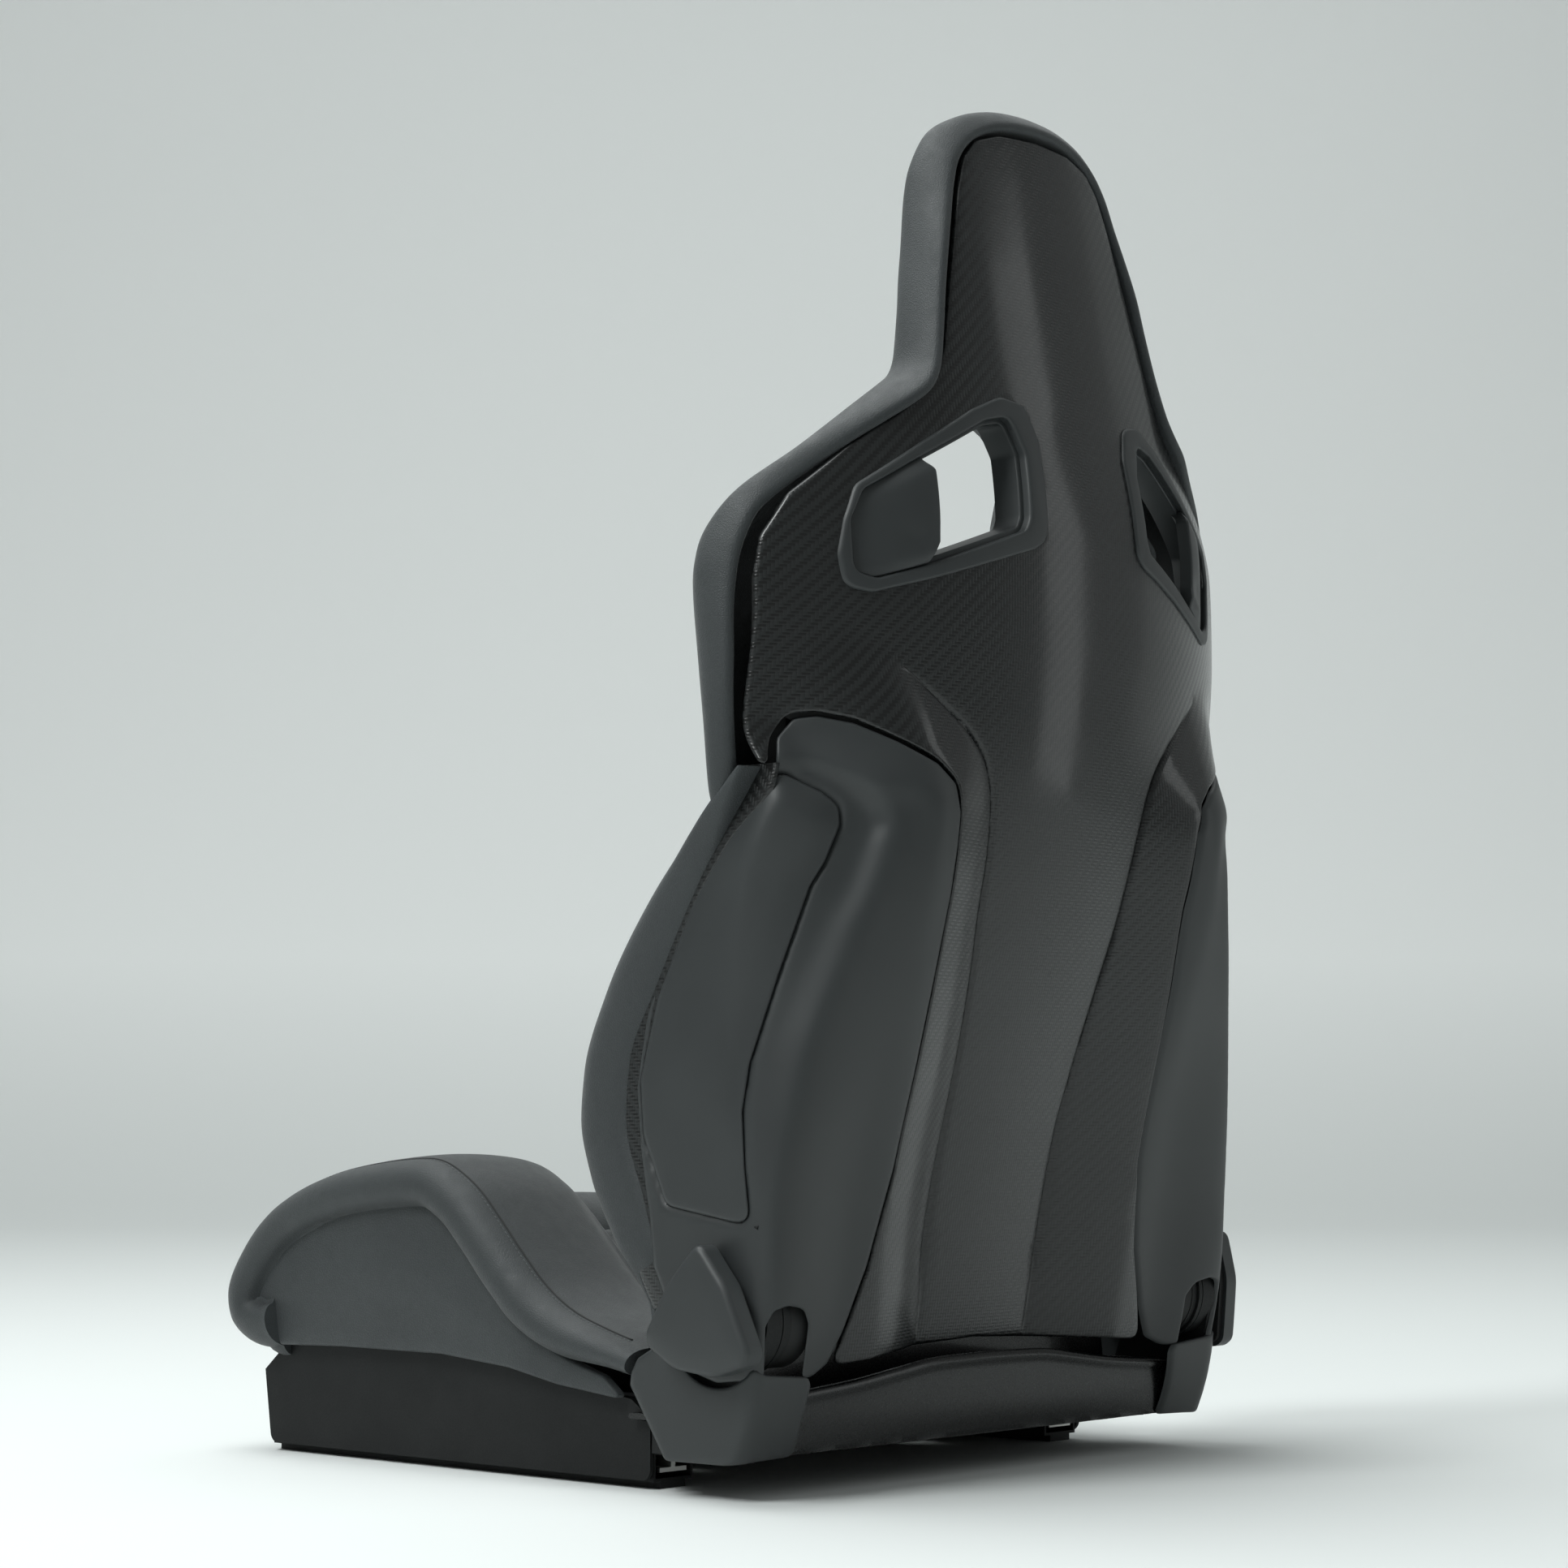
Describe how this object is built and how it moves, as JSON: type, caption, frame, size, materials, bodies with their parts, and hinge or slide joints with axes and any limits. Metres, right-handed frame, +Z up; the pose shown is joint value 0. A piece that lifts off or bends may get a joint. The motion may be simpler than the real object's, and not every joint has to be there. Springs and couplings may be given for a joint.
{
  "type": "racing seat",
  "caption": "Reclining sport bucket seat with a carbon back shell, harness openings beside the head section, leather bolsters, side covers with levers and slide rails.",
  "frame": {"origin": "on the floor, midway between the two floor rails and midway along them", "axes": "+Z up, the seat faces -Y, +X is the sitter's left"},
  "size_m": [0.572, 0.647, 0.963],
  "materials": {
    "carbon": "clear-coated carbon twill",
    "leather": "fine grained, soft sheen",
    "leather_centre": "fine grained, soft sheen",
    "satin_plastic": "satin moulded, fine texture",
    "black_steel": "matt black powder coat",
    "gloss_black_steel": "gloss black paint",
    "zinc_steel": "zinc plated, satin",
    "bright_steel": "machined, oiled",
    "cage_plastic": "natural nylon"
  },
  "bodies": {
    "floor_rails": {"lower_rail_left": "zinc_steel", "lower_rail_right": "zinc_steel"},
    "ball_cages": {"ball_cage_left": "cage_plastic", "ball_cage_right": "cage_plastic", "rail_balls": "bright_steel"},
    "seat_base": {"upper_rail_left": "zinc_steel", "upper_rail_right": "zinc_steel", "base_side_left": "black_steel", "base_side_right": "black_steel", "hinge_bracket_left": "black_steel", "hinge_bracket_right": "black_steel", "recliner_housing_left": "bright_steel", "recliner_housing_right": "bright_steel", "hinge_cover_left": "satin_plastic", "hinge_cover_right": "satin_plastic", "handle_bracket_left": "black_steel", "handle_bracket_right": "black_steel", "cushion_bolster_left": "leather", "cushion_bolster_right": "leather", "front_cross_tube": "black_steel", "rear_cross_tube": "black_steel", "cushion_pan": "black_steel", "base_bolts": "bright_steel", "bracket_bolts": "bright_steel", "rear_crossmember": "gloss_black_steel", "cushion_centre_pad": "leather_centre", "cushion_front_roll": "leather"},
    "slide_handle": {"slide_handle": "black_steel", "latch_arm_left": "black_steel", "latch_arm_right": "black_steel"},
    "recliner_drive": {"recliner_cross_shaft": "bright_steel", "recliner_knob_left": "satin_plastic", "recliner_knob_right": "satin_plastic"},
    "recliner_carrier": {"recliner_gear_left": "bright_steel", "recliner_gear_right": "bright_steel", "carrier_plate_left": "black_steel", "carrier_plate_right": "black_steel"},
    "backrest": {"back_side_member_left": "black_steel", "back_side_member_right": "black_steel", "side_cover_left": "satin_plastic", "side_cover_right": "satin_plastic", "belt_bezel_left": "satin_plastic", "belt_bezel_right": "satin_plastic", "belt_guide_left": "satin_plastic", "belt_guide_right": "satin_plastic", "back_bolster_left": "leather", "back_bolster_right": "leather", "upper_cross_tube": "black_steel", "head_frame_hoop": "black_steel", "back_suspension": "zinc_steel", "frame_pins": "bright_steel", "back_shell": "carbon", "shell_studs": "bright_steel", "lever_hinge_pins": "bright_steel", "back_upper_pad": "leather", "back_centre_pad": "leather_centre"},
    "fold_lever_left": {"fold_lever_left": "satin_plastic"},
    "fold_lever_right": {"fold_lever_right": "satin_plastic"},
    "fold_catch_left": {"fold_catch_left": "bright_steel"},
    "fold_catch_right": {"fold_catch_right": "bright_steel"}
  },
  "joints": [
    {"name": "seat_slide", "type": "slide", "parent": "floor_rails", "child": "seat_base", "axis": [0, 1, 0], "range_m": [-0.1, 0.1]},
    {"name": "cage_travel", "type": "slide", "parent": "floor_rails", "child": "ball_cages", "axis": [0, 1, 0], "range_m": [-0.05, 0.05]},
    {"name": "handle_lift", "type": "hinge", "parent": "seat_base", "child": "slide_handle", "pos_m": [0, -0.13, 0.03], "axis": [-1, 0, 0], "range_deg": [0, 8]},
    {"name": "recline", "type": "hinge", "parent": "seat_base", "child": "recliner_carrier", "pos_m": [0, 0.285, 0.118], "axis": [-1, 0, 0], "range_deg": [-4, 36]},
    {"name": "knob_turn", "type": "hinge", "parent": "seat_base", "child": "recliner_drive", "pos_m": [0, 0.285, 0.118], "axis": [-1, 0, 0], "range_deg": [-132, 1188]},
    {"name": "fold_forward", "type": "hinge", "parent": "recliner_carrier", "child": "backrest", "pos_m": [0, 0.285, 0.118], "axis": [1, 0, 0], "range_deg": [0, 18]},
    {"name": "fold_lever_pull_left", "type": "hinge", "parent": "backrest", "child": "fold_lever_left", "pos_m": [0.259, 0.24, 0.193], "axis": [0, 0.9874, -0.158], "range_deg": [0, 10]},
    {"name": "fold_lever_pull_right", "type": "hinge", "parent": "backrest", "child": "fold_lever_right", "pos_m": [-0.259, 0.24, 0.193], "axis": [0, -0.9874, 0.158], "range_deg": [0, 10]},
    {"name": "fold_catch_lift_left", "type": "hinge", "parent": "backrest", "child": "fold_catch_left", "pos_m": [0.234, 0.25, 0.186], "axis": [1, 0, 0], "range_deg": [0, 8]},
    {"name": "fold_catch_lift_right", "type": "hinge", "parent": "backrest", "child": "fold_catch_right", "pos_m": [-0.234, 0.25, 0.186], "axis": [1, 0, 0], "range_deg": [0, 8]}
  ],
  "couplings": [
    {"joint": "cage_travel", "follows": "seat_slide", "ratio": 0.5},
    {"joint": "knob_turn", "follows": "recline", "ratio": 33},
    {"joint": "fold_catch_lift_left", "follows": "fold_lever_pull_left", "ratio": 0.8},
    {"joint": "fold_catch_lift_right", "follows": "fold_lever_pull_right", "ratio": 0.8}
  ]
}
